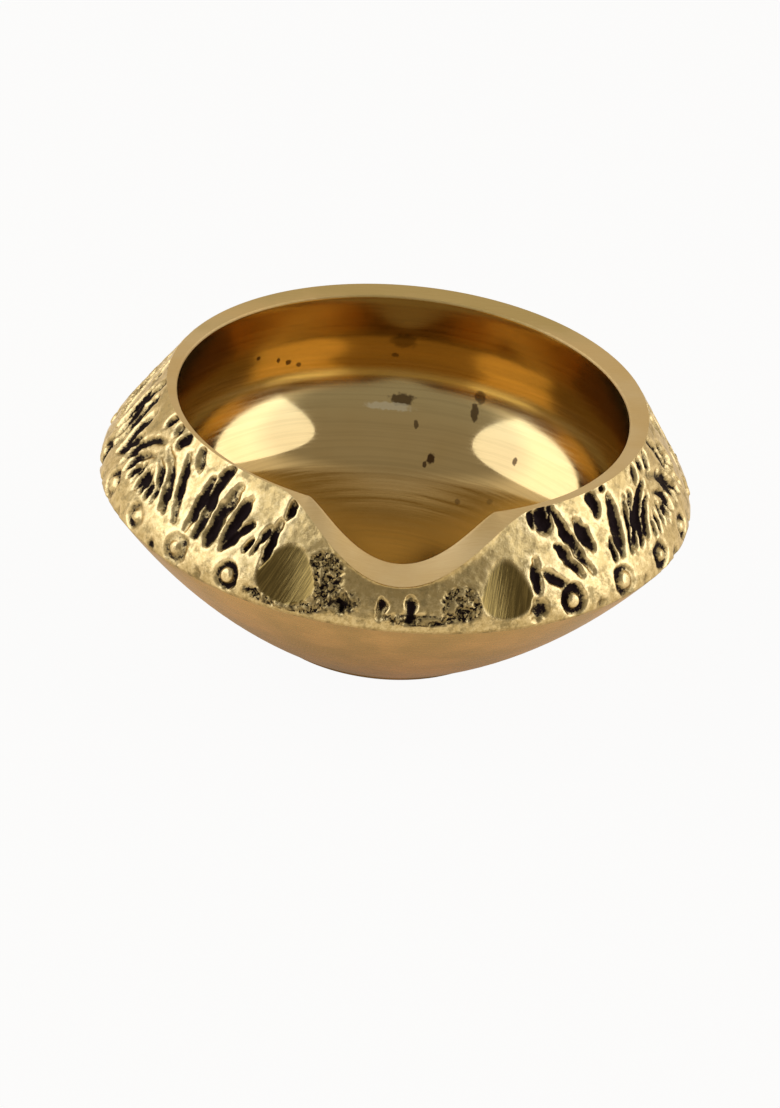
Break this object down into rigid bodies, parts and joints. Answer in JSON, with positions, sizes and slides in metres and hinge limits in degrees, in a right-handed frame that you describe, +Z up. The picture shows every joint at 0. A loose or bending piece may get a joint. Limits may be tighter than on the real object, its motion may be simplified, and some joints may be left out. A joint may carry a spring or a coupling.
{
  "type": "oil lamp",
  "caption": "Small round cast brass diya: leaf-fan shoulder over a ring-and-dot band, turned bowl, flat foot and a filed wick spout.",
  "frame": {"origin": "centre of the foot's flat sole, on the surface the lamp stands on", "axes": "+Z up along the lamp's axis, -Y towards the wick spout, +X to the right of someone who faces the spout"},
  "size_m": [0.076, 0.076, 0.032],
  "materials": {
    "brass": "polished inside, on the rim and on the lower bowl; as cast with dark recesses on the shoulder and band"
  },
  "bodies": {
    "root": {"lamp_body": "brass"}
  },
  "joints": []
}
